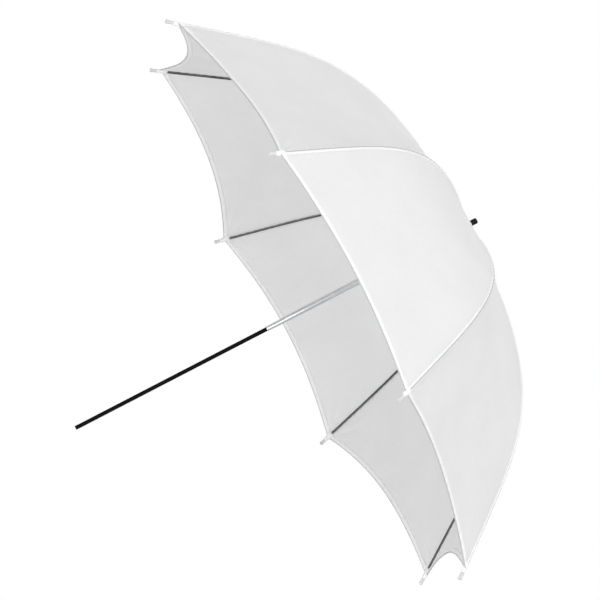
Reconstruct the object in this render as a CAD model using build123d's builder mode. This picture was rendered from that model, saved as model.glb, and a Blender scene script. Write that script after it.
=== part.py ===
"""Studio umbrella reflector: eight bowed ribs, stretchers, a runner on a stepped shaft and a white canopy.

The origin is the centre of the handle end, +Z runs up the shaft to the ferrule, and rib 1 lies over +X.
"""
from build123d import *
from math import atan2, cos, degrees, radians, sin
import os

# Driving dimensions, in millimetres and degrees
RIBS = 8
RIM_RADIUS = 480.0
RIM_HEIGHT = 364.0
CROWN_HEIGHT = 645.0
FERRULE_TOP = 663.5

# Shaft
ROD_RADIUS = 3.0
ROD_SPIGOT = 2.8
ROD_BORE = 2.2
ROD_TOP = 345.0
PLUG_DEPTH = 10.0
TUBE_RADIUS = 4.5
TUBE_BORE = 3.8
TUBE_TOP = 639.0
SWAGE_BOTTOM = 312.0
SWAGE_TOP = 376.0
SWAGE_RADIUS = 3.6
STUD_RADIUS = 2.6
STUD_BOTTOM = 622.0
PAST_FACE = 1.0  # how far a cut runs past the face it starts from

# Crown, from the washer under the cloth to the cap
WASHER_RADIUS = 8.0
CLOTH_SPACE = 0.4
COLLAR_RADIUS = 17.0
COLLAR_EDGE = 1.0
COLLAR_SLOPE = 0.5
NECK_FOOT = 6.0
NECK_ROUNDING = 1.5
NECK_RADIUS = 3.9
NECK_TOP_RADIUS = 3.7
CAP_LENGTH = 10.0
CAP_RADIUS = 4.3
CAP_ROUNDING = 1.6
CAP_ROOF = 4.0

# Ribs, as a pressed channel that follows the bow of the canopy
CROWN_START = 10.0
CROWN_SLOPE = 4.3
CROWN_REACH = 299.0
TIP_SLOPE = 51.6
TIP_REACH = 208.0
TIP_LENGTH = 17.0
TIP_SOCKET = 7.0
TIP_CAP_RADIUS = 2.5
TIP_CAP_LENGTH = 16.0
TIP_ROUNDING = 0.9
TIP_BEAD_START = 12.5
TIP_BEAD_LENGTH = 2.5
TIP_BEAD_RADIUS = 3.0
RIB_WIDTH = 3.0
RIB_DEPTH = 2.6
WALL = 0.5
RIB_DROP = 1.1

# Hinges: ribs turn on the notch wire, stretchers on their rivets and on the runner wire
RING_RADIUS = 11.0
HINGE_HEIGHT = 641.0
WIRE_RADIUS = 0.6
WIRE_BEND = 2.5
EYE_RADIUS = 1.9
EYE_BACK = 1.0
EYE_BLEND = 12.0
EYE_FALL = 0.9
EYE_STEP = 1.2
RUNNING_GAP = 0.05
STRETCHER_LENGTH = 156.0
OPEN_ANGLE = 80.5
LUG_THICKNESS = 1.6
LUG_RADIUS = 1.8
LUG_HEIGHT = 6.0
LUG_BRIDGE = 3.0
CHANNEL_CUT = 30.0
STRETCHER_BUTT = 8.0
FORK_LENGTH = 10.0
FORK_SHIFT = 1.0
RIVET_RADIUS = 0.7
RIVET_HEAD = 1.3
RIVET_HEAD_HEIGHT = 0.5

# Notch at the top of the tube and the runner below it
HUB_RADIUS = 14.0
HUB_BOTTOM = 632.0
HUB_TOP = 643.4
HUB_SKIRT = 6.0
SLOT_WIDTH = 3.8
SLOT_FLOOR = 8.2
GROOVE_FLOOR = 10.2
GROOVE_HEIGHT = 1.5
RUNNER_BORE = 4.9
RUNNER_SLEEVE = 7.2
RUNNER_GRIP = 36.0
GRIP_FLANGE = 2.0
GRIP_FLANGE_HEIGHT = 4.0
GRIP_TAPER = 3.0
CROWN_FLARE = 3.0
CROWN_HALF = 4.5
KEYWAY_WIDTH = 3.4
KEYWAY_REACH = 7.0

# Catch under the runner, pressed in by a thumb
CATCH_WIDTH = 2.4
CATCH_HEIGHT = 9.0
CATCH_TOP_GAP = 1.0
CATCH_REACH = 6.6
CATCH_LIP = 2.0
CATCH_SIDE_PLAY = 0.4
CATCH_END_PLAY = 0.6
TAIL_INSIDE = 1.2
TAIL_OUTSIDE = 2.4
TAIL_LENGTH = 4.0
SPRING_FOOT = -3.5
SPRING_CREST = 1.1
SPRING_HALF = 12.0
SPRING_LEAF = 0.3
SPRING_END = 0.2
SPRING_WIDTH = 1.2

# Canopy
CLOTH_THICKNESS = 0.6
HALF_GORE = 180.0 / RIBS
GORE_GAP = 0.05
GORE_SAG = 0.022
HEM_RISE = 24.0

os.makedirs("parts", exist_ok=True)


def slope_vector(slope):
    """Unit vector in a radial plane that runs outward and falls at this slope."""
    return Vector(cos(radians(slope)), -sin(radians(slope)))


def bow(drop=0.0):
    """Control points of the rib's bow, in radius and height, moved inward by drop."""
    crown_along, tip_along = slope_vector(CROWN_SLOPE), slope_vector(TIP_SLOPE)
    crown = Vector(CROWN_START, CROWN_HEIGHT) - Vector(-crown_along.Y, crown_along.X) * drop
    tip = Vector(RIM_RADIUS, RIM_HEIGHT) - tip_along * TIP_LENGTH
    tip = tip - Vector(-tip_along.Y, tip_along.X) * drop
    return [crown, crown + crown_along * CROWN_REACH, tip - tip_along * TIP_REACH, tip]


def radial_plane(angle):
    """Vertical plane through the shaft, with x outward and y up, seen from the side."""
    turn = radians(angle)
    return Plane(origin=(0, 0, 0), x_dir=(cos(turn), sin(turn), 0), z_dir=(sin(turn), -cos(turn), 0))


def joint_places():
    """Hinge in the notch, rivet on the rib and hinge in the runner, in a radial plane."""
    notch = Vector(RING_RADIUS, HINGE_HEIGHT)
    reach = Vector(sin(radians(OPEN_ANGLE)), -cos(radians(OPEN_ANGLE))) * STRETCHER_LENGTH
    rivet = notch + reach
    runner = Vector(RING_RADIUS, rivet.Y + reach.Y)
    return notch, rivet, runner


NOTCH, RIVET, RUNNER = joint_places()


def save(part, name):
    """Label one finished piece and write it as its own file."""
    part.label = name
    export_step(part, f"parts/{name}.step")


def make_shaft():
    """Thin lower rod in a swaged tube, with the plug in its free end and the stud in its top."""
    with BuildPart() as lower_rod:
        with BuildSketch():
            Circle(ROD_RADIUS)
        extrude(amount=SWAGE_BOTTOM)
        with BuildSketch():
            Circle(ROD_SPIGOT)
        extrude(amount=ROD_TOP)
        with BuildSketch():
            Circle(ROD_BORE)
        extrude(amount=ROD_TOP, mode=Mode.SUBTRACT)
    save(lower_rod.part, "lower_rod")

    with BuildPart() as end_plug:
        with BuildSketch():
            Circle(ROD_BORE)
        extrude(amount=PLUG_DEPTH)
    save(end_plug.part, "end_plug")

    with BuildPart() as upper_tube:
        with BuildSketch(Plane.XZ):
            with BuildLine():
                Polyline(
                    (ROD_SPIGOT, SWAGE_BOTTOM),
                    (SWAGE_RADIUS, SWAGE_BOTTOM),
                    (TUBE_RADIUS, SWAGE_TOP),
                    (TUBE_RADIUS, TUBE_TOP),
                    (TUBE_BORE, TUBE_TOP),
                    (TUBE_BORE, SWAGE_TOP),
                    (ROD_SPIGOT, ROD_TOP),
                    close=True,
                )
            make_face()
        revolve(axis=Axis.Z)
        with BuildSketch(Plane.YZ):
            with Locations((0, catch_middle())):
                Rectangle(CATCH_WIDTH + CATCH_SIDE_PLAY, CATCH_HEIGHT + CATCH_END_PLAY)
        extrude(amount=TUBE_RADIUS + PAST_FACE, mode=Mode.SUBTRACT)
    save(upper_tube.part, "upper_tube")

    with BuildPart() as crown_stud:
        with BuildSketch(Plane.XY.offset(STUD_BOTTOM)):
            Circle(TUBE_BORE)
        extrude(amount=TUBE_TOP - STUD_BOTTOM)
        with BuildSketch(Plane.XY.offset(TUBE_TOP)):
            Circle(STUD_RADIUS)
        extrude(amount=FERRULE_TOP - CAP_ROOF - TUBE_TOP)
    save(crown_stud.part, "crown_stud")


def catch_middle():
    """Height of the middle of the catch, just below the runner's grip."""
    return RUNNER.Y - CROWN_HALF - RUNNER_GRIP - CATCH_TOP_GAP - CATCH_HEIGHT / 2


def spoked_ring(bottom, top, wire_height, bore):
    """Slotted collar with a groove for the wire, as used by the notch and by the runner."""
    with BuildPart() as ring:
        with BuildSketch(Plane.XY.offset(bottom)):
            Circle(HUB_RADIUS)
            Circle(bore, mode=Mode.SUBTRACT)
            with PolarLocations(SLOT_FLOOR + HUB_RADIUS / 2, RIBS):
                Rectangle(HUB_RADIUS, SLOT_WIDTH, mode=Mode.SUBTRACT)
        extrude(amount=top - bottom)
        with BuildSketch(Plane.XY.offset(wire_height - GROOVE_HEIGHT / 2)):
            Circle(HUB_RADIUS + PAST_FACE)
            Circle(GROOVE_FLOOR, mode=Mode.SUBTRACT)
        extrude(amount=GROOVE_HEIGHT, mode=Mode.SUBTRACT)
    return ring.part


def wire_ring(height):
    """Hinge wire: a flat eight-sided ring whose straight sides are the hinge pins."""
    with BuildSketch(Plane.XY.offset(height)) as outline:
        RegularPolygon(RING_RADIUS, RIBS, major_radius=False, rotation=HALF_GORE)
        fillet(outline.vertices(), WIRE_BEND)
    path = outline.sketch.face().outer_wire()
    with BuildPart() as wire:
        with BuildSketch(Plane(origin=path @ 0, z_dir=path % 0)):
            Circle(WIRE_RADIUS)
        sweep(path=path)
    return wire.part


def make_notch():
    """Notch at the top of the tube and the wire round it."""
    with BuildPart() as notch_hub:
        add(spoked_ring(HUB_BOTTOM, HUB_TOP, HINGE_HEIGHT, STUD_RADIUS))
        with BuildSketch(Plane.XY.offset(HUB_BOTTOM)):
            Circle(TUBE_RADIUS)
        extrude(amount=TUBE_TOP - HUB_BOTTOM, mode=Mode.SUBTRACT)
        with BuildSketch(Plane.XY.offset(HUB_BOTTOM - HUB_SKIRT)):
            Circle(SLOT_FLOOR)
            Circle(TUBE_RADIUS, mode=Mode.SUBTRACT)
        extrude(amount=HUB_SKIRT)
    save(notch_hub.part, "notch_hub")
    save(wire_ring(HINGE_HEIGHT), "notch_wire")


def make_ferrule():
    """Washers on both sides of the cloth at the crown, and the cap on the stud."""
    with BuildPart() as cloth_washer:
        with BuildSketch(Plane.XY.offset(HUB_TOP)):
            Circle(WASHER_RADIUS)
            Circle(STUD_RADIUS, mode=Mode.SUBTRACT)
        extrude(amount=CROWN_HEIGHT - CLOTH_SPACE - HUB_TOP)
    save(cloth_washer.part, "cloth_washer")

    collar_bottom = CROWN_HEIGHT + CLOTH_SPACE
    collar_rim = collar_bottom + COLLAR_EDGE
    neck_foot = collar_rim + COLLAR_SLOPE
    collar_top = FERRULE_TOP - CAP_LENGTH
    with BuildPart() as crown_collar:
        with BuildSketch(Plane.XZ):
            with BuildLine():
                Polyline(
                    (STUD_RADIUS, collar_bottom),
                    (COLLAR_RADIUS, collar_bottom),
                    (COLLAR_RADIUS - COLLAR_EDGE, collar_rim),
                    (NECK_FOOT, neck_foot),
                    (NECK_RADIUS, neck_foot + NECK_ROUNDING),
                    (NECK_TOP_RADIUS, collar_top),
                    (STUD_RADIUS, collar_top),
                    close=True,
                )
            make_face()
        revolve(axis=Axis.Z)
    save(crown_collar.part, "crown_collar")

    with BuildPart() as ferrule_cap:
        with BuildSketch(Plane.XY.offset(collar_top)):
            Circle(CAP_RADIUS)
        extrude(amount=FERRULE_TOP - collar_top)
        fillet(ferrule_cap.edges().group_by(Axis.Z)[-1], CAP_ROUNDING)
        with BuildSketch(Plane.XY.offset(collar_top)):
            Circle(STUD_RADIUS)
        extrude(amount=FERRULE_TOP - CAP_ROOF - collar_top, mode=Mode.SUBTRACT)
    save(ferrule_cap.part, "ferrule_cap")


def make_runner():
    """Sliding runner with its slotted crown, its grip and the keyway that clears the catch."""
    crown_bottom, crown_top = RUNNER.Y - CROWN_HALF, RUNNER.Y + CROWN_HALF
    grip_bottom = crown_bottom - RUNNER_GRIP
    with BuildPart() as runner:
        add(spoked_ring(crown_bottom, crown_top, RUNNER.Y, RUNNER_BORE))
        with BuildSketch(Plane.XZ):
            with BuildLine():
                Polyline(
                    (RUNNER_BORE, grip_bottom),
                    (RUNNER_SLEEVE + GRIP_FLANGE, grip_bottom),
                    (RUNNER_SLEEVE + GRIP_FLANGE, grip_bottom + GRIP_FLANGE_HEIGHT),
                    (RUNNER_SLEEVE, grip_bottom + GRIP_FLANGE_HEIGHT + GRIP_TAPER),
                    (RUNNER_SLEEVE, crown_bottom - CROWN_FLARE),
                    (RUNNER_SLEEVE + CROWN_FLARE, crown_bottom),
                    (RUNNER_BORE, crown_bottom),
                    close=True,
                )
            make_face()
        revolve(axis=Axis.Z)
        with BuildSketch(Plane.XY.offset(grip_bottom)):
            with Locations((KEYWAY_REACH / 2, 0)):
                Rectangle(KEYWAY_REACH, KEYWAY_WIDTH)
        extrude(amount=crown_top - grip_bottom, mode=Mode.SUBTRACT)
    save(runner.part, "runner")
    save(wire_ring(RUNNER.Y), "runner_wire")


def make_catch():
    """Latch that stands out of the tube below the runner, and the leaf spring behind it."""
    middle = catch_middle()
    half = CATCH_HEIGHT / 2
    with BuildPart() as catch:
        with BuildSketch(Plane.XZ):
            with BuildLine():
                Polyline(
                    (TAIL_INSIDE, middle - half - TAIL_LENGTH),
                    (TAIL_OUTSIDE, middle - half - TAIL_LENGTH),
                    (TAIL_OUTSIDE, middle - half),
                    (TUBE_RADIUS, middle - half),
                    (CATCH_REACH, middle + half - CATCH_LIP),
                    (CATCH_REACH, middle + half),
                    (TAIL_OUTSIDE, middle + half),
                    (TAIL_OUTSIDE, middle + half + TAIL_LENGTH),
                    (TAIL_INSIDE, middle + half + TAIL_LENGTH),
                    close=True,
                )
            make_face()
        extrude(amount=CATCH_WIDTH / 2, both=True)
    save(catch.part, "catch")

    low_foot, high_foot = (SPRING_FOOT, middle - SPRING_HALF), (SPRING_FOOT, middle + SPRING_HALF)
    back_foot, back_half = SPRING_FOOT - SPRING_END, SPRING_HALF - SPRING_LEAF
    low_heel, high_heel = (back_foot, middle - back_half), (back_foot, middle + back_half)
    with BuildPart() as catch_spring:
        with BuildSketch(Plane.XZ):
            with BuildLine():
                ThreePointArc(low_foot, (SPRING_CREST, middle), high_foot)
                Line(high_foot, high_heel)
                ThreePointArc(high_heel, (SPRING_CREST - SPRING_LEAF, middle), low_heel)
                Line(low_heel, low_foot)
            make_face()
        extrude(amount=SPRING_WIDTH / 2, both=True)
    save(catch_spring.part, "catch_spring")


def make_rib(number, angle):
    """Bowed channel with an eye at the notch, a lug for the stretcher and a spigot at the tip."""
    plane = radial_plane(angle)
    top, web, bottom = bow(RIB_DROP), bow(RIB_DROP + WALL), bow(RIB_DROP + RIB_DEPTH)
    below = bow(RIB_DROP + RIB_DEPTH + PAST_FACE)
    tip_along = slope_vector(TIP_SLOPE)
    spigot_start = (top[3] + bottom[3]) / 2
    with BuildPart() as rib:
        with BuildSketch(plane):
            with BuildLine():
                Bezier(*[(p.X, p.Y) for p in top])
                Line((top[3].X, top[3].Y), (bottom[3].X, bottom[3].Y))
                Bezier(*[(p.X, p.Y) for p in reversed(bottom)])
                Line((bottom[0].X, bottom[0].Y), (top[0].X, top[0].Y))
            make_face()
        extrude(amount=RIB_WIDTH / 2, both=True)
        with BuildSketch(plane):
            with BuildLine():
                Bezier(*[(p.X, p.Y) for p in web])
                Line((web[3].X, web[3].Y), (below[3].X, below[3].Y))
                Bezier(*[(p.X, p.Y) for p in reversed(below)])
                Line((below[0].X, below[0].Y), (web[0].X, web[0].Y))
            make_face()
            with Locations((RIVET.X, RIVET.Y)):
                Rectangle(2 * LUG_RADIUS + LUG_BRIDGE, CHANNEL_CUT, mode=Mode.SUBTRACT)
        extrude(amount=RIB_WIDTH / 2 - WALL, both=True, mode=Mode.SUBTRACT)
        with BuildSketch(plane):
            with BuildLine():
                Polyline(
                    (NOTCH.X - EYE_BACK, NOTCH.Y + EYE_RADIUS),
                    (NOTCH.X, NOTCH.Y - EYE_RADIUS),
                    (NOTCH.X + EYE_BLEND, bottom[0].Y - EYE_FALL),
                    (NOTCH.X + EYE_BLEND, top[0].Y - EYE_STEP),
                    close=True,
                )
            make_face()
            with Locations((NOTCH.X, NOTCH.Y)):
                Circle(EYE_RADIUS)
        extrude(amount=RIB_WIDTH / 2, both=True)
        with BuildSketch(plane):
            with Locations((NOTCH.X, NOTCH.Y)):
                Circle(WIRE_RADIUS + RUNNING_GAP)
        extrude(amount=RIB_WIDTH, both=True, mode=Mode.SUBTRACT)
        with BuildSketch(plane):
            with Locations((RIVET.X, RIVET.Y)):
                Circle(LUG_RADIUS)
            with Locations((RIVET.X, RIVET.Y + LUG_HEIGHT / 2)):
                Rectangle(2 * LUG_RADIUS, LUG_HEIGHT)
            with Locations((RIVET.X, RIVET.Y)):
                Circle(RIVET_RADIUS, mode=Mode.SUBTRACT)
        extrude(amount=LUG_THICKNESS / 2, both=True)
        start = plane.from_local_coords(spigot_start)
        along = plane.from_local_coords(spigot_start + tip_along) - start
        with BuildSketch(Plane(origin=start, z_dir=along)):
            Circle(RIB_DEPTH / 2)
        extrude(amount=TIP_SOCKET)
    save(rib.part, f"rib_{number}")
    return Plane(origin=start, z_dir=along)


def make_tip(number, butt):
    """Plastic cap on the end of a rib, with a round head that holds the corner of the cloth."""
    with BuildPart() as rib_tip:
        with BuildSketch(butt):
            Circle(TIP_CAP_RADIUS)
        extrude(amount=TIP_CAP_LENGTH)
        fillet(rib_tip.edges().filter_by(GeomType.CIRCLE), TIP_ROUNDING)
        with BuildSketch(butt):
            Circle(RIB_DEPTH / 2)
        extrude(amount=TIP_SOCKET, mode=Mode.SUBTRACT)
        with BuildSketch(butt.offset(TIP_BEAD_START)):
            Circle(TIP_BEAD_RADIUS)
        extrude(amount=TIP_BEAD_LENGTH)
    save(rib_tip.part, f"rib_tip_{number}")


def make_stretcher(number, angle):
    """Channel from the runner to the rib, with an eye at the runner and a fork at the rivet."""
    plane = radial_plane(angle)
    reach = RIVET - RUNNER
    lean = degrees(atan2(reach.Y, reach.X))
    middle = (RIVET + RUNNER) / 2
    half_depth = RIB_DEPTH / 2
    with BuildPart() as stretcher:
        with BuildSketch(plane):
            with Locations(Location((middle.X, middle.Y), lean)):
                Rectangle(STRETCHER_LENGTH, RIB_DEPTH)
            with Locations((RIVET.X, RIVET.Y)):
                Circle(half_depth)
            with Locations((RUNNER.X, RUNNER.Y)):
                Circle(EYE_RADIUS)
        extrude(amount=RIB_WIDTH / 2, both=True)
        with BuildSketch(plane):
            with Locations(Location((middle.X, middle.Y), lean)):
                with Locations((STRETCHER_BUTT / 2, WALL)):
                    Rectangle(STRETCHER_LENGTH - STRETCHER_BUTT, RIB_DEPTH)
                with Locations((STRETCHER_LENGTH / 2 - FORK_SHIFT, 0)):
                    Rectangle(FORK_LENGTH, 2 * RIB_DEPTH)
        extrude(amount=RIB_WIDTH / 2 - WALL, both=True, mode=Mode.SUBTRACT)
        with BuildSketch(plane):
            with Locations((RIVET.X, RIVET.Y)):
                Circle(RIVET_RADIUS + RUNNING_GAP)
            with Locations((RUNNER.X, RUNNER.Y)):
                Circle(WIRE_RADIUS + RUNNING_GAP)
        extrude(amount=RIB_WIDTH, both=True, mode=Mode.SUBTRACT)
    save(stretcher.part, f"stretcher_{number}")


def make_rivet(number, angle):
    """Rivet through the fork and the lug."""
    plane = radial_plane(angle)
    head_start = RIB_WIDTH / 2 + 2 * RUNNING_GAP
    with BuildPart() as rivet:
        with BuildSketch(plane):
            with Locations((RIVET.X, RIVET.Y)):
                Circle(RIVET_RADIUS)
        extrude(amount=head_start, both=True)
        for side in (-1, 1):
            with BuildSketch(plane.offset(side * head_start)):
                with Locations((RIVET.X, RIVET.Y)):
                    Circle(RIVET_HEAD)
            extrude(amount=side * RIVET_HEAD_HEIGHT)
    save(rivet.part, f"rivet_{number}")


def gore_middle(drop):
    """Control points of the line down the middle of a gore, where the cloth pulls in."""
    points = bow(drop)
    tip_along = slope_vector(TIP_SLOPE)
    rise = tip_along * -HEM_RISE
    raised = [points[0], points[1], points[2] + rise * 0.5, points[3] + rise]
    inward = cos(radians(HALF_GORE)) - GORE_SAG
    return [Vector(p.X * inward, p.Y) for p in raised]


def make_canopy_panel(number, angle):
    """Cloth over one rib, out to the middle of the gore on each side."""
    half = CLOTH_THICKNESS / 2
    edge = HALF_GORE - GORE_GAP
    with BuildPart() as canopy_panel:
        for turn, line in ((-edge, gore_middle), (0, bow), (edge, gore_middle)):
            outer, inner = line(-half), line(half)
            with BuildSketch(radial_plane(angle + turn)):
                with BuildLine():
                    Bezier(*[(p.X, p.Y) for p in outer])
                    Line((outer[3].X, outer[3].Y), (inner[3].X, inner[3].Y))
                    Bezier(*[(p.X, p.Y) for p in reversed(inner)])
                    Line((inner[0].X, inner[0].Y), (outer[0].X, outer[0].Y))
                make_face()
        loft(ruled=True)
    save(canopy_panel.part, f"canopy_panel_{number}")


make_shaft()
make_notch()
make_ferrule()
make_runner()
make_catch()
for index in range(RIBS):
    heading = index * 360.0 / RIBS
    rib_end = make_rib(index + 1, heading)
    make_tip(index + 1, rib_end)
    make_stretcher(index + 1, heading)
    make_rivet(index + 1, heading)
    make_canopy_panel(index + 1, heading)
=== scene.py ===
from math import cos, pi, radians, sin

import bmesh
import bpy
import numpy as np
from mathutils import Matrix, Vector, noise


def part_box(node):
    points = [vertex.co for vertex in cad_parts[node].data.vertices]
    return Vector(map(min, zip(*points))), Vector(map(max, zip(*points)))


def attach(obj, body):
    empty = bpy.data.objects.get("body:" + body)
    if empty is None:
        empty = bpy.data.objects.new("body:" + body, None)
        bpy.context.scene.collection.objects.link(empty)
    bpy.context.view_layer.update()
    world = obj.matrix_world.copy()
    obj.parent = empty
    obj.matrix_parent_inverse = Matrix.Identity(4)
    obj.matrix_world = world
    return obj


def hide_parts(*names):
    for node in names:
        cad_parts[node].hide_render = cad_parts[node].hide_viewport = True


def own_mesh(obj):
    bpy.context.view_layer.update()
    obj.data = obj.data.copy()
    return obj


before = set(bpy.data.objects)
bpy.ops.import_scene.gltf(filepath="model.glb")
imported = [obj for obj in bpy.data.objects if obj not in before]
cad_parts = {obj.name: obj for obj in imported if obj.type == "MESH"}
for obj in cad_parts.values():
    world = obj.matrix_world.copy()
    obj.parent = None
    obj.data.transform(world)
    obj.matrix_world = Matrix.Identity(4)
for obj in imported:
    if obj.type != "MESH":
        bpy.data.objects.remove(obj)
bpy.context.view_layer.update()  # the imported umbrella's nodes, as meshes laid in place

# The canopy's driving sizes, in metres and radians, the same as the frame's
RIBS = 8
GORE = 2 * pi / RIBS
CROWN_START, CROWN_HEIGHT = 0.0100, 0.6450
CROWN_SLOPE, CROWN_REACH = radians(4.3), 0.2990
RIM_RADIUS, RIM_HEIGHT = 0.4800, 0.3640
TIP_SLOPE, TIP_REACH, TIP_LENGTH = radians(51.6), 0.2080, 0.0170

# How the cloth hangs between the ribs
HEM_RISE = 0.043  # share of the rib's length that the hem rises in the middle of a gore
GORE_PULL = 0.030  # how far the cloth pulls in there, as a share of the chord between the ribs
MOUTH = np.array([0.0, 0.0, RIM_HEIGHT])  # the point that the cloth pulls in towards

# Slow unevenness of the stretched cloth: waves per metre and their height, less beside the ribs
BROAD_WAVES, BROAD_HEIGHT = 9.0, 0.0011
FINE_WAVES, FINE_HEIGHT = 24.0, 0.00035
CALM_AT_RIB, CALM_GROWTH = 0.15, 3

# Puckers along a row of stitches: their height, how far from the row they reach, and their pitch
SEAM_PUCKER = (0.00032, 0.007, 0.0125)
HEM_PUCKER = (0.00030, 0.008, 0.0135)
WANDER, WANDER_LENGTH = 1.4, 0.085  # how far the pitch wanders, in radians, and over what length
CROWN_CALM = 0.06  # the chord between two ribs under which the seam's puckers get smaller

# Creases that fan out of the corner at the rib tip
CREASE_HEIGHT, CREASE_START, CREASE_REACH, CREASE_FAN = 0.0008, 0.014, 0.095, 11
SEAM_PHASE, HEM_PHASE, CREASE_PHASE = 3, 3, 5  # these make each rib's ripples its own

# Mesh resolution of one panel
ROWS = 190
COLUMNS = 34  # on each side of the rib
COLUMN_CROWDING = 1.35  # above 1 brings the columns closer together beside the rib
HEM_STEPS, SEAM_STEPS = 120, 300

# Hem: distance from the rim and height above the cloth round its section, outside face first
HEM_OUTSIDE = ((0.0005, 0.00045), (0.0016, 0.00060), (0.0038, 0.00046), (0.0060, 0.00056))
HEM_FOLD = ((0.0070, 0.00040), (0.0074, -0.0002), (0.0071, -0.0009), (0.0060, -0.0010))
HEM_INSIDE = ((0.0038, -0.00075), (0.0016, -0.0009), (0.0005, -0.0006))
HEM_START = 0.012  # share of the half gore that the gathered corner covers
HEM_SHARE = 0.996  # share of the rib's length at which the hem's directions are taken
OVERLOCK_SIDES, OVERLOCK_RADIUS, OVERLOCK_SETBACK, OVERLOCK_WRAP = 12, 0.0010, 0.0005, 0.0009

# Seam: distance beside the rib and height above the cloth over half its section
SEAM_OFFSETS = np.array([0.0003, 0.0009, 0.0020, 0.0031, 0.0038])
SEAM_HEIGHTS = np.array([0.00012, 0.00058, 0.00072, 0.00048, 0.00005])
SEAM_START, SEAM_END = 0.006, 0.990  # shares of the rib's length
ALLOWANCE_SHARE, ALLOWANCE_DROP = 0.6, 0.0001  # the inside is flatter, and clear of the cloth
SEAM_ROOM = 0.36  # share of the chord that half the seam may take up near the crown

# Stitches: their sections are a share of the length, a lift in widths and a share of the width
STITCH_PITCH, STITCH_LENGTH, STITCH_WIDTH = 0.0034, 0.0024, 0.00042
STITCH_SECTIONS = ((-0.5, -0.25, 0.6), (-0.3, 0.5, 1.0), (0.3, 0.5, 1.0), (0.5, -0.25, 0.6))
THREAD_HIGH, THREAD_WIDE = 0.5, 0.6  # half its section, in widths
SEAM_ROW, SEAM_ROW_LIFT = 0.0022, 0.00074  # distance beside the rib and above the cloth
SEAM_ROW_ROOM = 0.21  # share of the chord that the distance may take up near the crown
HEM_ROW, HEM_ROW_LIFT = 0.0052, 0.00068  # distance from the rim and above the cloth
SEAM_ROW_START, SEAM_ROW_END = 0.03, 0.985  # shares of the rib's length
HEM_ROW_START, HEM_ROW_END = 0.02, 0.499  # shares of the chord

# Gathered corner: reach past the rib's end, half its width, half its height and drop below the cloth
CUFF_SECTIONS = (
    (-0.0125, 0.0042, 0.0012, 0.0016),
    (-0.0095, 0.0050, 0.0026, 0.0022),
    (-0.0060, 0.0044, 0.0032, 0.0024),
    (-0.0020, 0.0038, 0.0034, 0.0024),
    (0.0025, 0.0034, 0.0033, 0.0024),
    (0.0040, 0.0032, 0.0031, 0.0024),
    (0.0046, 0.0028, 0.0027, 0.0024),
)
CUFF_SIDES, CUFF_PLEATS, PLEAT_DEPTH = 20, 7, 0.05

# Leaf spring behind the catch
LEAF_THICKNESS, LEAF_HEEL, LEAF_FLAT, LEAF_STEPS = 0.0003, 0.0002, 0.8, 41

# Camera, floor, surroundings and soft lights; angles in degrees, round the shaft and above the rim
AIM = Vector((0.0107, -0.0155, 0.3771))
CAMERA_AZIMUTH, CAMERA_ELEVATION, CAMERA_DISTANCE = 70.34, -8.57, 4.382
CAMERA_ROLL = radians(-62.66)
CAMERA_LENS, SENSOR_WIDTH = 180.0, 36.0
FLOOR_HEIGHT, FLOOR_REACH = -1.30, 60.0
LIGHT_FROM_BELOW, LIGHT_FROM_ABOVE = 0.53, 0.72
SOFTBOXES = (  # name, azimuth, elevation, distance, size and power
    ("key", 75.0, 9.0, 4.0, 2.0, 60.0),
    ("back_fill", 252.0, 28.0, 4.5, 3.0, 13.0),
    ("low_fill", 71.0, -14.0, 3.4, 0.8, 16.0),
    ("overhead", 60.0, 75.0, 5.0, 3.5, 62.0),
)


# ---------------------------------------------------------------- shape of the canopy


def bow_table(samples=600):
    """The rib's bow: share of its length, radius and height at each sample, and its whole length."""
    crown = np.array([CROWN_START, CROWN_HEIGHT])
    crown_along = np.array([cos(CROWN_SLOPE), -sin(CROWN_SLOPE)])
    tip_along = np.array([cos(TIP_SLOPE), -sin(TIP_SLOPE)])
    tip = np.array([RIM_RADIUS, RIM_HEIGHT]) - tip_along * TIP_LENGTH
    handles = [crown, crown + crown_along * CROWN_REACH, tip - tip_along * TIP_REACH, tip]
    t = np.linspace(0, 1, samples)[:, None]
    weights = [(1 - t) ** 3, 3 * t * (1 - t) ** 2, 3 * t * t * (1 - t), t**3]
    points = sum(w * p for w, p in zip(weights, handles))
    steps = np.linalg.norm(np.diff(points, axis=0), axis=1)
    length = np.concatenate([[0], np.cumsum(steps)])
    return length / length[-1], points[:, 0], points[:, 1], length[-1]


BOW_SHARE, BOW_RADIUS, BOW_HEIGHT, BOW_LENGTH = bow_table()


def bow_at(share):
    """Radius and height of the bow at a share of its length."""
    return np.interp(share, BOW_SHARE, BOW_RADIUS), np.interp(share, BOW_SHARE, BOW_HEIGHT)


def gore_chord(radius):
    """The straight distance between two neighbouring ribs, this far from the shaft."""
    return 2 * radius * sin(GORE / 2)


def unit(vectors):
    """The same vectors, one unit long."""
    return vectors / np.maximum(np.linalg.norm(vectors, axis=-1, keepdims=True), 1e-12)


def soft_ripple(points):
    """Slow unevenness of stretched cloth, in metres."""
    places = [Vector(point) for point in points.reshape(-1, 3)]
    broad = np.array([noise.noise(place * BROAD_WAVES) for place in places]) * BROAD_HEIGHT
    fine = np.array([noise.noise(place * FINE_WAVES) for place in places]) * FINE_HEIGHT
    return (broad + fine).reshape(points.shape[:-1])


def puckers(run, away, pucker, phase):
    """Small waves along a row of stitches, lower further away from it."""
    height, reach, pitch = pucker
    wander = WANDER * np.sin(2 * pi * run / WANDER_LENGTH + phase)
    return height * np.exp(-away / reach) * np.sin(2 * pi * run / pitch + wander)


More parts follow.
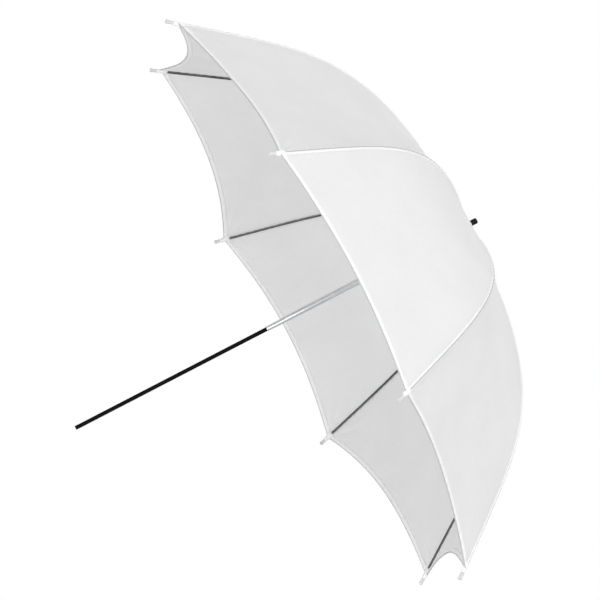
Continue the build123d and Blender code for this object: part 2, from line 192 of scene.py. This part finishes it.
def sewn_ripple(heading, side, along, across, chord):
    """Puckers beside the seam and the hem, and creases that run out of the corner at the rib tip."""
    beside = np.minimum(across, 1 - across) * chord
    above = (1 - along) * BOW_LENGTH
    down = along * BOW_LENGTH
    near_rib = (1 - 4 * across * (1 - across)) * np.minimum(1, chord / CROWN_CALM)
    middle = heading + side * GORE / 2
    seam = puckers(down, beside, SEAM_PUCKER, heading * SEAM_PHASE)
    hem = puckers(beside, above, HEM_PUCKER, np.sin(middle * HEM_PHASE))
    corner = np.hypot(beside, above)
    ray = np.arctan2(beside, above + 1e-6)
    fade = np.exp(-((corner / CREASE_REACH) ** 2)) * (1 - np.exp(-corner / CREASE_START))
    fan = np.sin(ray * CREASE_FAN + heading * CREASE_PHASE) * np.sin(ray) ** 0.5
    return (seam + CREASE_HEIGHT * fade * fan) * near_rib + hem


def canopy(heading, side, along, across):
    """Points on the cloth beside a rib.

    along runs from 0 at the crown to 1 at the hem, and across from 0 at this rib to 1 at its neighbour."""
    along, across = np.broadcast_arrays(np.asarray(along, float), np.asarray(across, float))
    bulge = 4 * across * (1 - across)
    radius, height = bow_at(along * (1 - HEM_RISE * bulge))
    near, far = heading, heading + side * GORE
    x = radius * ((1 - across) * cos(near) + across * cos(far))
    y = radius * ((1 - across) * sin(near) + across * sin(far))
    points = np.stack([x, y, height], axis=-1)
    chord = gore_chord(radius)
    inward = unit(MOUTH - points)
    points = points + inward * (GORE_PULL * bulge * chord)[..., None]
    calm = np.minimum(1, bulge * CALM_GROWTH + CALM_AT_RIB)
    ripple = soft_ripple(points) * calm + sewn_ripple(heading, side, along, across, chord)
    return points - inward * ripple[..., None]


def surface_frame(heading, side, along, across, step=0.004):
    """A point on the cloth, with the directions towards the hem and away from the rib and the normal."""
    here = canopy(heading, side, along, across)
    out = unit(canopy(heading, side, along + step, across) - canopy(heading, side, along - step, across))
    further, nearer = across + step, np.maximum(across - step, 0)
    away = unit(canopy(heading, side, along, further) - canopy(heading, side, along, nearer))
    normal = unit(np.cross(out, away) * side)
    return here, out, away, normal


def rib_frame(heading, share, step=0.002):
    """A point of the bow with its tangent, the sideways direction and the outward normal."""
    share = np.asarray(share, float)
    radius, height = bow_at(share)
    r1, h1 = bow_at(np.clip(share + step, 0, 1))
    r0, h0 = bow_at(np.clip(share - step, 0, 1))
    slope = np.arctan2(h1 - h0, r1 - r0)
    outward = np.array([cos(heading), sin(heading), 0.0])
    sideways = np.array([-sin(heading), cos(heading), 0.0])
    up = np.array([0.0, 0.0, 1.0])
    here = radius[..., None] * outward + height[..., None] * up
    tangent = np.cos(slope)[..., None] * outward + np.sin(slope)[..., None] * up
    normal = -np.sin(slope)[..., None] * outward + np.cos(slope)[..., None] * up
    return here, tangent, np.broadcast_to(sideways, here.shape), normal


def laid_on(heading, share, offset, lift):
    """Points on the cloth at a signed distance beside the rib, raised off the cloth."""
    share, offset, lift = np.broadcast_arrays(share, offset, lift)
    across = np.abs(offset) / gore_chord(bow_at(share)[0])
    left, right = (canopy(heading, side, share, across) for side in (-1, 1))
    here = np.where((offset < 0)[..., None], left, right)
    return here + rib_frame(heading, share)[3] * lift[..., None]


# ---------------------------------------------------------------- meshes


def mesh_object(name, points, faces, material, smooth=True):
    """A mesh object from points and faces, with one material."""
    mesh = bpy.data.meshes.new(name)
    mesh.from_pydata([tuple(map(float, p)) for p in points], [], [tuple(map(int, f)) for f in faces])
    mesh.materials.append(material)
    mesh.update()
    for polygon in mesh.polygons:
        polygon.use_smooth = smooth
    piece = bpy.data.objects.new(name, mesh)
    bpy.context.collection.objects.link(piece)
    return piece


def grid_faces(rows, columns):
    """Quads of a grid of rows by columns points."""
    r, c = np.meshgrid(np.arange(rows - 1), np.arange(columns - 1), indexing="ij")
    first = (r * columns + c).ravel()
    return np.stack([first, first + columns, first + columns + 1, first + 1], axis=1)


def tube_faces(rings, around, start):
    """Side quads and end caps of a closed tube of rings, each with this many points around."""
    faces = []
    for ring in range(rings - 1):
        for k in range(around):
            a = start + ring * around + k
            b = start + ring * around + (k + 1) % around
            faces.append((a, b, b + around, a + around))
    faces.append(tuple(start + k for k in reversed(range(around))))
    faces.append(tuple(start + (rings - 1) * around + k for k in range(around)))
    return faces


def tubes(name, ring_sets, material):
    """One object from several closed tubes, each given as an array of rings."""
    points, faces = [], []
    for rings in ring_sets:
        faces += tube_faces(rings.shape[0], rings.shape[1], len(points))
        points += list(rings.reshape(-1, 3))
    piece = mesh_object(name, points, faces, material)
    make_normals_outward(piece)
    return piece


def make_normals_outward(piece):
    """Turn each closed shell so that its faces look outward."""
    work = bmesh.new()
    work.from_mesh(piece.data)
    bmesh.ops.recalc_face_normals(work, faces=work.faces)
    work.to_mesh(piece.data)
    work.free()


def lay_uv(piece, places):
    """A UV map in metres, from one place for each vertex."""
    layer = piece.data.uv_layers.new(name="cloth")
    corners = np.zeros(len(piece.data.loops), int)
    piece.data.loops.foreach_get("vertex_index", corners)
    layer.data.foreach_set("uv", places[corners].astype(np.float32).ravel())


# ---------------------------------------------------------------- materials

RAMP_START, RAMP_END = 0.3, 0.7  # where a colour ramp leaves its first colour and reaches its second
WAVE_PERIOD = 0.314  # length of one wave of a wave texture at scale 1
CLOTH_WEAVE = 0.0006  # pitch of the threads
ACROSS_THREADS, ALONG_THREADS = 1400.0, 22.0  # how often a thread's thickness changes, per metre
WEAVE_LOW, WEAVE_HIGH = 0.7, 2.1  # lowest and highest sum of the weave and its unevenness
SHADED, LIT = 0.93, 1.03  # how much the colour changes between them
RIB_SHADOW_CORE, RIB_SHADOW_FADE = 0.0007, 0.0016  # half the width of the rib's painted shadow in a seam's groove, inside and outside its soft rim
SCUFF_START, SCUFF_FULL = 0.64, 0.72  # noise values between which a scuff shows more and more
SCUFF_COLOUR = (0.25, 0.25, 0.25, 1)
WHITE = (1, 1, 1, 1)


def plug_in(tree, node, inputs):
    """Set each input of a node to a value, or link it to a socket."""
    for name, value in inputs.items():
        if isinstance(value, bpy.types.NodeSocket):
            tree.links.new(value, node.inputs[name])
        else:
            node.inputs[name].default_value = value


def add_node(tree, kind, inputs, **settings):
    """A new node with its settings and inputs; gives its outputs."""
    node = tree.nodes.new(kind)
    for name, value in settings.items():
        setattr(node, name, value)
    plug_in(tree, node, inputs)
    return node.outputs


def new_material(name):
    """A new node material, with its tree, its Principled shader and its texture coordinates."""
    material = bpy.data.materials.new(name)
    material.use_nodes = True
    tree = material.node_tree
    return material, tree, tree.nodes["Principled BSDF"], add_node(tree, "ShaderNodeTexCoord", {})


def add_noise(tree, place, scale, detail=4.0):
    """The value of a noise texture."""
    inputs = {"Vector": place, "Scale": scale, "Detail": detail}
    return add_node(tree, "ShaderNodeTexNoise", inputs)["Fac"]


def add_stretch(tree, place, scale):
    """Coordinates scaled by a different factor along each axis."""
    return add_node(tree, "ShaderNodeMapping", {"Vector": place, "Scale": scale})["Vector"]


def add_ramp(tree, value, low, high):
    """A two-colour ramp over a texture's value."""
    node = tree.nodes.new("ShaderNodeValToRGB")
    for stop, position, colour in zip(node.color_ramp.elements, (RAMP_START, RAMP_END), (low, high)):
        stop.position, stop.color = position, (*colour, 1)
    tree.links.new(value, node.inputs["Fac"])
    return node.outputs["Color"]


def add_range(tree, value, low, high, start=0.0, end=1.0, **settings):
    """A value between start and end mapped to the range from low to high."""
    inputs = {"Value": value, "From Min": start, "From Max": end, "To Min": low, "To Max": high}
    return add_node(tree, "ShaderNodeMapRange", inputs, **settings)["Result"]


def add_bump(tree, height, distance, strength):
    """A normal from a texture's value."""
    inputs = {"Height": height, "Distance": distance, "Strength": strength}
    return add_node(tree, "ShaderNodeBump", inputs)["Normal"]


def add_wave(tree, place, pitch, direction, distortion, detail=1.0):
    """The value of a wave texture, with its pitch in metres."""
    scale = WAVE_PERIOD / pitch
    inputs = {"Vector": place, "Scale": scale, "Distortion": distortion, "Detail Scale": detail}
    return add_node(tree, "ShaderNodeTexWave", inputs, bands_direction=direction)["Fac"]


def paint_rib_shadow(tree, place, colour, middle):
    """A colour with the rib's shadow painted into the groove of a seam: painted shade, darker where the rib
    would show through a single layer.
    """
    beside = add_node(tree, "ShaderNodeSeparateXYZ", {0: place})["X"]
    distance = add_node(tree, "ShaderNodeMath", {0: beside}, operation="ABSOLUTE")[0]
    edge = add_range(tree, distance, 0.0, 1.0, RIB_SHADOW_CORE, RIB_SHADOW_FADE, interpolation_type="SMOOTHSTEP")
    inputs = {"Factor": edge, "A": (*middle, 1), "B": colour}
    return add_node(tree, "ShaderNodeMix", inputs, data_type="RGBA")["Result"]


def combine(tree, operation, first, second):
    """The sum or the product of two values."""
    return add_node(tree, "ShaderNodeMath", {0: first, 1: second}, operation=operation)[0]


def cloth_material(name, low, high, see_through, middle=None):
    """White woven nylon that lets light through, with its weave laid along each panel and an optional
    painted rib shadow.
    """
    material, tree, shader, place = new_material(name)
    warp, weft = (
        add_wave(tree, place["UV"], CLOTH_WEAVE, axis, distortion=0.6, detail=2.0) for axis in ("X", "Y")
    )
    woven = combine(tree, "MULTIPLY", warp, weft)
    cloud = add_noise(tree, place["Object"], scale=14.0)
    tint = add_ramp(tree, cloud, low, high)
    uneven_warp, uneven_weft = (
        add_noise(tree, add_stretch(tree, place["UV"], scale), scale=1.0, detail=3.0)
        for scale in ((ACROSS_THREADS, ALONG_THREADS, 1.0), (ALONG_THREADS, ACROSS_THREADS, 1.0))
    )
    relief = combine(tree, "ADD", woven, combine(tree, "ADD", uneven_warp, uneven_weft))
    shade = add_range(tree, relief, SHADED, LIT, WEAVE_LOW, WEAVE_HIGH)
    colour = add_node(tree, "ShaderNodeVectorMath", {0: tint, "Scale": shade}, operation="SCALE")[0]
    # paint the rib's shadow down the seam's groove, in the colour given as middle
    if middle is not None:
        colour = paint_rib_shadow(tree, place["UV"], colour, middle)
    normal = add_bump(tree, relief, distance=0.00008, strength=0.7)
    facing = {
        "Base Color": colour,
        "Roughness": add_range(tree, cloud, low=0.62, high=0.78),
        "Normal": normal,
        "Sheen Weight": 0.12,
        "Sheen Roughness": 0.4,
        "Specular IOR Level": 0.25,
    }
    plug_in(tree, shader, facing)
    through = add_node(tree, "ShaderNodeBsdfTranslucent", {"Color": colour, "Normal": normal})[0]
    both = add_node(tree, "ShaderNodeMixShader", {0: see_through, 1: shader.outputs[0], 2: through})[0]
    plug_in(tree, tree.nodes["Material Output"], {"Surface": both})
    return material


def metal_material(
    name, low, high, roughness, metallic=1.0, gloss=0.5, drawn=1.0, scuffs=0.0, relief=0.5
):
    """Steel, bare, plated or painted, with marks drawn along it, uneven gloss and light scuffs."""
    material, tree, shader, place = new_material(name)
    along = add_stretch(tree, place["Object"], (1.0, 1.0, drawn))
    grain = add_noise(tree, along, scale=900.0, detail=6.0)
    colour = add_ramp(tree, add_noise(tree, place["Object"], scale=30.0), low, high)
    if scuffs:
        marks = add_noise(tree, along, scale=220.0, detail=8.0)
        worn = add_range(tree, marks, 0.0, scuffs, SCUFF_START, SCUFF_FULL)
        inputs = {"Factor": worn, "A": colour, "B": SCUFF_COLOUR}
        colour = add_node(tree, "ShaderNodeMix", inputs, data_type="RGBA")["Result"]
    surface = {
        "Base Color": colour,
        "Metallic": metallic,
        "Roughness": add_range(tree, grain, low=roughness - 0.06, high=roughness + 0.10),
        "Specular IOR Level": gloss,
        "Normal": add_bump(tree, grain, distance=0.00002, strength=relief),
    }
    plug_in(tree, shader, surface)
    return material


def plastic_material(name, low, high, roughness, gloss=0.5):
    """Moulded plastic with a faint texture."""
    material, tree, shader, place = new_material(name)
    grain = add_noise(tree, place["Object"], scale=900.0, detail=3.0)
    cloud = add_noise(tree, place["Object"], scale=60.0)
    surface = {
        "Base Color": add_ramp(tree, cloud, low, high),
        "Roughness": add_range(tree, cloud, low=roughness - 0.05, high=roughness + 0.07),
        "Specular IOR Level": gloss,
        "Normal": add_bump(tree, grain, distance=0.00003, strength=0.4),
    }
    plug_in(tree, shader, surface)
    return material


def thread_material(name, low, high, pitch):
    """Thread wound round an edge, in slanting turns along a UV map in metres, with painted shade darkening
    the grooves between the turns.
    """
    material, tree, shader, place = new_material(name)
    turns = add_wave(tree, place["UV"], pitch, "DIAGONAL", distortion=1.0)
    cloud = add_noise(tree, place["Object"], scale=120.0)
    surface = {
        "Base Color": add_ramp(tree, turns, low, high),
        "Roughness": add_range(tree, cloud, low=0.65, high=0.85),
        "Specular IOR Level": 0.2,
        "Sheen Weight": 0.2,
        "Normal": add_bump(tree, turns, distance=0.00025, strength=0.8),
    }
    plug_in(tree, shader, surface)
    return material


def floor_material(name, low, high):
    """A plain matt floor, faintly clouded."""
    material, tree, shader, place = new_material(name)
    tint = add_ramp(tree, add_noise(tree, place["Object"], scale=0.6), low, high)
    plug_in(tree, shader, {"Base Color": tint, "Roughness": 0.9})
    return material


SEWN_LOW, SEWN_HIGH = (0.91, 0.91, 0.915), (0.95, 0.95, 0.953)  # several layers of cloth
CLOTH = cloth_material("white_nylon", (0.800, 0.800, 0.804), (0.832, 0.832, 0.836), see_through=0.38)
HEM_CLOTH = cloth_material("white_nylon_hem", SEWN_LOW, SEWN_HIGH, see_through=0.10)
# the seam's middle colour is a painted shadow of the rib beneath the cloth
SEAM_CLOTH = cloth_material(
    "white_nylon_seam", SEWN_LOW, SEWN_HIGH, see_through=0.15, middle=(0.50, 0.50, 0.51)
)
# the overlock's grey is painted shade along the hem's folded edge, and its darker bands between turns are
# painted shade too
SHADE_GREY_THREAD = thread_material("overlock_thread_painted_shade", (0.42, 0.42, 0.43), (0.60, 0.60, 0.61), pitch=0.0011)
THREAD = plastic_material("white_thread", (0.80, 0.80, 0.80), (0.88, 0.88, 0.88), roughness=0.75, gloss=0.2)
DARK_STEEL = metal_material("dark_steel", (0.18, 0.18, 0.184), (0.27, 0.27, 0.275), roughness=0.24)
BRIGHT_STEEL = metal_material(
    "bright_tube", (0.60, 0.61, 0.62), (0.74, 0.75, 0.76), roughness=0.26, drawn=0.006, relief=0.08
)
WIRE = metal_material("bright_wire", (0.45, 0.45, 0.46), (0.60, 0.60, 0.60), roughness=0.28)
BLACK_ROD = metal_material(
    "black_rod",
    (0.001, 0.001, 0.001),
    (0.003, 0.003, 0.003),
    roughness=0.38,
    metallic=0.0,
    gloss=0.06,
    drawn=0.04,
    scuffs=0.06,
)
BLACK_PLASTIC = plastic_material(
    "black_plastic", (0.003, 0.003, 0.003), (0.007, 0.007, 0.007), roughness=0.40, gloss=0.15
)
WHITE_PLASTIC = plastic_material("white_plastic", (0.80, 0.80, 0.80), (0.86, 0.86, 0.86), roughness=0.45)
TIP_PLASTIC = plastic_material("tip_plastic", (0.56, 0.56, 0.57), (0.64, 0.64, 0.65), roughness=0.40)
PALE_FLOOR = floor_material("pale_floor", (0.92, 0.92, 0.92), (0.94, 0.94, 0.94))

# The carried-over CAD nodes
NODE_MATERIALS = {
    "lower_rod": BLACK_ROD,
    "end_plug": BLACK_PLASTIC,
    "upper_tube": BRIGHT_STEEL,
    "crown_stud": BRIGHT_STEEL,
    "notch_hub": WHITE_PLASTIC,
    "notch_wire": WIRE,
    "cloth_washer": WHITE_PLASTIC,
    "crown_collar": WHITE_PLASTIC,
    "ferrule_cap": BLACK_PLASTIC,
    "runner": BLACK_PLASTIC,
    "runner_wire": WIRE,
    "catch": WIRE,
}
for number in range(1, RIBS + 1):
    NODE_MATERIALS[f"rib_{number}"] = DARK_STEEL
    NODE_MATERIALS[f"stretcher_{number}"] = DARK_STEEL
    NODE_MATERIALS[f"rivet_{number}"] = WIRE
    NODE_MATERIALS[f"rib_tip_{number}"] = TIP_PLASTIC
for node, material in NODE_MATERIALS.items():
    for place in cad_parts[node].material_slots:
        place.material = material


# ---------------------------------------------------------------- pieces of the canopy


def make_panel(number, heading):
    """The cloth over one rib, a single curved sheet out to the middle of the gore on each side.

    Its weave runs along the middle of each gore, where it meets the next panel's, and turns at the seam."""
    along = np.linspace(0, 1, ROWS)[:, None]
    spread = 0.5 * np.linspace(0, 1, COLUMNS) ** COLUMN_CROWDING
    left = surface_frame(heading, -1, along, spread[::-1][None, :])
    right = surface_frame(heading, 1, along, spread[1:][None, :])
    points, normals = (np.concatenate([left[part], right[part]], axis=1) for part in (0, 3))
    normals[:, COLUMNS - 1] = rib_frame(heading, along[:, 0])[3]
    faces = grid_faces(ROWS, points.shape[1])
    piece = mesh_object(f"canopy_cloth_{number}", points.reshape(-1, 3), faces, CLOTH)
    piece.data.normals_split_custom_set_from_vertices([tuple(n) for n in unit(normals).reshape(-1, 3)])

    radius, _ = bow_at(along[:, 0])
    from_middle = np.concatenate([spread[::-1][:-1] - 0.5, 0.5 - spread])
    across = gore_chord(radius)[:, None] * from_middle[None, :]
    down = np.broadcast_to(along * BOW_LENGTH, across.shape)
    lay_uv(piece, np.stack([across, down], axis=-1).reshape(-1, 2))
    return piece


def make_hem(number, heading):
    """The hem of one panel, flat outside and folded inside, and the overlocked edge along it."""
    profile = np.array(HEM_OUTSIDE + HEM_FOLD + HEM_INSIDE)
    turns = np.arange(OVERLOCK_SIDES) * 2 * pi / OVERLOCK_SIDES
    back, height = OVERLOCK_SETBACK - np.cos(turns) * OVERLOCK_RADIUS, np.sin(turns) * OVERLOCK_RADIUS
    round_edge = np.stack([back, height], axis=1)
    shares = 0.5 * np.linspace(HEM_START, 1, HEM_STEPS)
    bands, edges, places = [], [], []
    for side in (-1, 1):
        _, out, _, normal = surface_frame(heading, side, np.full_like(shares, HEM_SHARE), shares)
        rim = canopy(heading, side, np.ones_like(shares), shares)[:, None]
        for shape, ring_sets in ((profile, bands), (round_edge, edges)):
            ring_sets.append(rim - out[:, None] * shape[None, :, :1] + normal[:, None] * shape[None, :, 1:])
        run = np.repeat(shares * gore_chord(RIM_RADIUS) * side, OVERLOCK_SIDES)
        wrap = np.tile(turns, HEM_STEPS) * OVERLOCK_WRAP
        places.append(np.stack([run, wrap], axis=1))
    band = tubes(f"hem_{number}", bands, HEM_CLOTH)
    edge = tubes(f"hem_edge_{number}", edges, SHADE_GREY_THREAD)
    lay_uv(edge, np.concatenate(places))
    return band, edge


def make_seam(number, heading):
    """The felled seam over one rib: two raised bands, the groove between them and the allowances inside."""
    offsets = np.concatenate([-SEAM_OFFSETS[::-1], SEAM_OFFSETS])
    heights = np.concatenate([SEAM_HEIGHTS[::-1], SEAM_HEIGHTS])
    offsets = np.concatenate([offsets, offsets[::-1]])
    heights = np.concatenate([heights, -heights[::-1] * ALLOWANCE_SHARE - ALLOWANCE_DROP])
    shares = np.linspace(SEAM_START, SEAM_END, SEAM_STEPS)[:, None]
    narrow = np.minimum(1, gore_chord(bow_at(shares)[0]) * SEAM_ROOM / SEAM_OFFSETS[-1])
    offsets = offsets[None, :] * narrow
    rings = laid_on(heading, shares, offsets, heights[None, :])
    piece = tubes(f"seam_{number}", [rings], SEAM_CLOTH)
    down = np.broadcast_to(shares * BOW_LENGTH, offsets.shape)
    lay_uv(piece, np.stack([offsets, down], axis=-1).reshape(-1, 2))
    return piece


def stitch_rings(centres, forward, normal):
    """Rings of short threads that dip into the cloth at both ends."""
    ring_sets = []
    for centre, ahead, up, side in zip(centres, forward, normal, np.cross(forward, normal)):
        corners = [up * THREAD_HIGH, side * THREAD_WIDE, -up * THREAD_HIGH, -side * THREAD_WIDE]
        rings = []
        for reach, lift, size in STITCH_SECTIONS:
            middle = centre + ahead * (reach * STITCH_LENGTH) + up * (lift * STITCH_WIDTH)
            rings.append([middle + corner * STITCH_WIDTH * size for corner in corners])
        ring_sets.append(np.array(rings))
    return ring_sets


def make_stitches(number, heading):
    """Two rows of stitches along the seam, and one row on each face of the hem."""
    ring_sets = []
    shares = np.arange(SEAM_ROW_START, SEAM_ROW_END, STITCH_PITCH / BOW_LENGTH)
    _, tangent, _, normal = rib_frame(heading, shares)
    beside = np.minimum(SEAM_ROW, gore_chord(bow_at(shares)[0]) * SEAM_ROW_ROOM)
    for side in (-1, 1):
        row = laid_on(heading, shares, side * beside, SEAM_ROW_LIFT)
        ring_sets += stitch_rings(row, tangent, normal)
    shares = np.arange(HEM_ROW_START, HEM_ROW_END, STITCH_PITCH / gore_chord(bow_at(1.0)[0]))
    for side in (-1, 1):
        _, out, away, normal = surface_frame(heading, side, np.full_like(shares, HEM_SHARE), shares)
        row = canopy(heading, side, np.ones_like(shares), shares) - out * HEM_ROW
        for face in (-1, 1):
            ring_sets += stitch_rings(row + normal * (face * HEM_ROW_LIFT), away, normal * face)
    return tubes(f"stitches_{number}", ring_sets, THREAD)


def make_cuff(number, heading):
    """The corner of the cloth, gathered round the end of the rib and onto its cap."""
    end, tangent, sideways, normal = (v[0] for v in rib_frame(heading, np.array([1.0])))
    rings = []
    for reach, wide, high, drop in CUFF_SECTIONS:
        place, up = end + tangent * reach, normal
        if reach < 0:
            place, _, _, up = (v[0] for v in rib_frame(heading, np.array([1 + reach / BOW_LENGTH])))
        ring = []
        for turn in (2 * pi * k / CUFF_SIDES for k in range(CUFF_SIDES)):
            fold = 1 + PLEAT_DEPTH * sin(turn * CUFF_PLEATS + number)
            across, lift = wide * cos(turn) * fold, high * sin(turn) * fold
            ring.append(place - up * drop + sideways * across + up * lift)
        rings.append(ring)
    return tubes(f"corner_{number}", [np.array(rings)], HEM_CLOTH)


def fold_with_rib(piece, number):
    """Let a cloth piece ride its rib, with a mesh of its own."""
    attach(piece, f"rib_{number}")
    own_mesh(piece)


def make_leaf_spring():
    """The bent leaf behind the catch, built at rest; the real leaf flattens as the catch is pressed in."""
    (low_x, low_y, low_z), (crest, high_y, high_z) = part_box("catch_spring")
    foot, middle, half = low_x + LEAF_HEEL, (low_z + high_z) / 2, (high_z - low_z) / 2
    rise = crest - foot
    curve = (half * half + rise * rise) / (2 * rise)
    edge, corner = (high_y - low_y) / 2, LEAF_THICKNESS / 3
    inner = edge * LEAF_FLAT
    rings = []
    for reach in np.linspace(-1, 1, LEAF_STEPS) * half:
        front = crest - curve + (curve * curve - reach * reach) ** 0.5
        back = front - LEAF_THICKNESS
        places = [(front, -inner), (front, inner), (front - corner, edge), (back + corner, edge)]
        places += [(back, inner), (back, -inner), (back + corner, -edge), (front - corner, -edge)]
        rings.append([(x, y, middle + reach) for x, y in places])
    spring = tubes("leaf_spring", [np.array(rings)], WIRE)
    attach(spring, "shaft")
    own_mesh(spring)
    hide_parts("catch_spring")


make_leaf_spring()
for number in range(1, RIBS + 1):
    heading = (number - 1) * GORE
    panel = make_panel(number, heading)
    hem, hem_edge = make_hem(number, heading)
    seam = make_seam(number, heading)
    stitches = make_stitches(number, heading)
    for piece in (panel, hem, hem_edge, seam, stitches):
        fold_with_rib(piece, number)
    cuff = make_cuff(number, heading)
    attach(cuff, f"rib_{number}")
    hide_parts(f"canopy_panel_{number}")


# ---------------------------------------------------------------- stage, light and camera


def make_floor():
    """A wide pale floor below the umbrella."""
    turns = ((-1, -1), (1, -1), (1, 1), (-1, 1))
    corners = [(x * FLOOR_REACH, y * FLOOR_REACH, FLOOR_HEIGHT) for x, y in turns]
    floor = mesh_object("floor", corners, [(0, 1, 2, 3)], PALE_FLOOR, smooth=False)


def make_world():
    """White behind the umbrella for the camera, and softer light from all round, stronger from above."""
    world = bpy.data.worlds.new("white_surroundings")
    bpy.context.scene.world = world
    world.use_nodes = True
    tree = world.node_tree
    light = tree.nodes["Background"]
    direction = add_node(tree, "ShaderNodeTexCoord", {})["Generated"]
    height = add_node(tree, "ShaderNodeSeparateXYZ", {0: direction})["Z"]
    strength = add_range(tree, height, LIGHT_FROM_BELOW, LIGHT_FROM_ABOVE, start=-1.0)
    plug_in(tree, light, {"Color": WHITE, "Strength": strength})
    backdrop = add_node(tree, "ShaderNodeBackground", {"Color": WHITE})[0]
    seen = add_node(tree, "ShaderNodeLightPath", {})["Is Camera Ray"]
    both = add_node(tree, "ShaderNodeMixShader", {0: seen, 1: light.outputs[0], 2: backdrop})[0]
    plug_in(tree, tree.nodes["World Output"], {"Surface": both})


def polar(azimuth, elevation, distance):
    """A place seen from the aim point, by its angle round the shaft and above the rim."""
    a, e = radians(azimuth), radians(elevation)
    return Vector((cos(a) * cos(e), sin(a) * cos(e), sin(e))) * distance


def make_softbox(name, azimuth, elevation, distance, size, power):
    """A square soft light that looks at the canopy."""
    light = bpy.data.lights.new(name, "AREA")
    light.shape, light.size, light.energy = "SQUARE", size, power
    lamp = bpy.data.objects.new(name, light)
    offset = polar(azimuth, elevation, distance)
    lamp.location = AIM + offset
    lamp.rotation_euler = offset.to_track_quat("Z", "Y").to_euler()
    lamp.visible_camera = False
    bpy.context.collection.objects.link(lamp)


def make_camera():
    """A long lens, a little below the rim, rolled so that the shaft runs up to the right."""
    data = bpy.data.cameras.new("camera")
    data.lens, data.sensor_width = CAMERA_LENS, SENSOR_WIDTH
    camera = bpy.data.objects.new("camera", data)
    offset = polar(CAMERA_AZIMUTH, CAMERA_ELEVATION, CAMERA_DISTANCE)
    back = offset.normalized()
    level = Vector((0, 0, 1)).cross(back).normalized()
    upright = back.cross(level)
    up = upright * cos(CAMERA_ROLL) + level * sin(CAMERA_ROLL)
    right = up.cross(back)
    turn = Matrix((right, up, back)).transposed()
    camera.matrix_world = Matrix.Translation(AIM + offset) @ turn.to_4x4()
    bpy.context.collection.objects.link(camera)
    bpy.context.scene.camera = camera


make_floor()
make_world()
for softbox in SOFTBOXES:
    make_softbox(*softbox)
make_camera()
bpy.context.scene.view_settings.view_transform = "Standard"
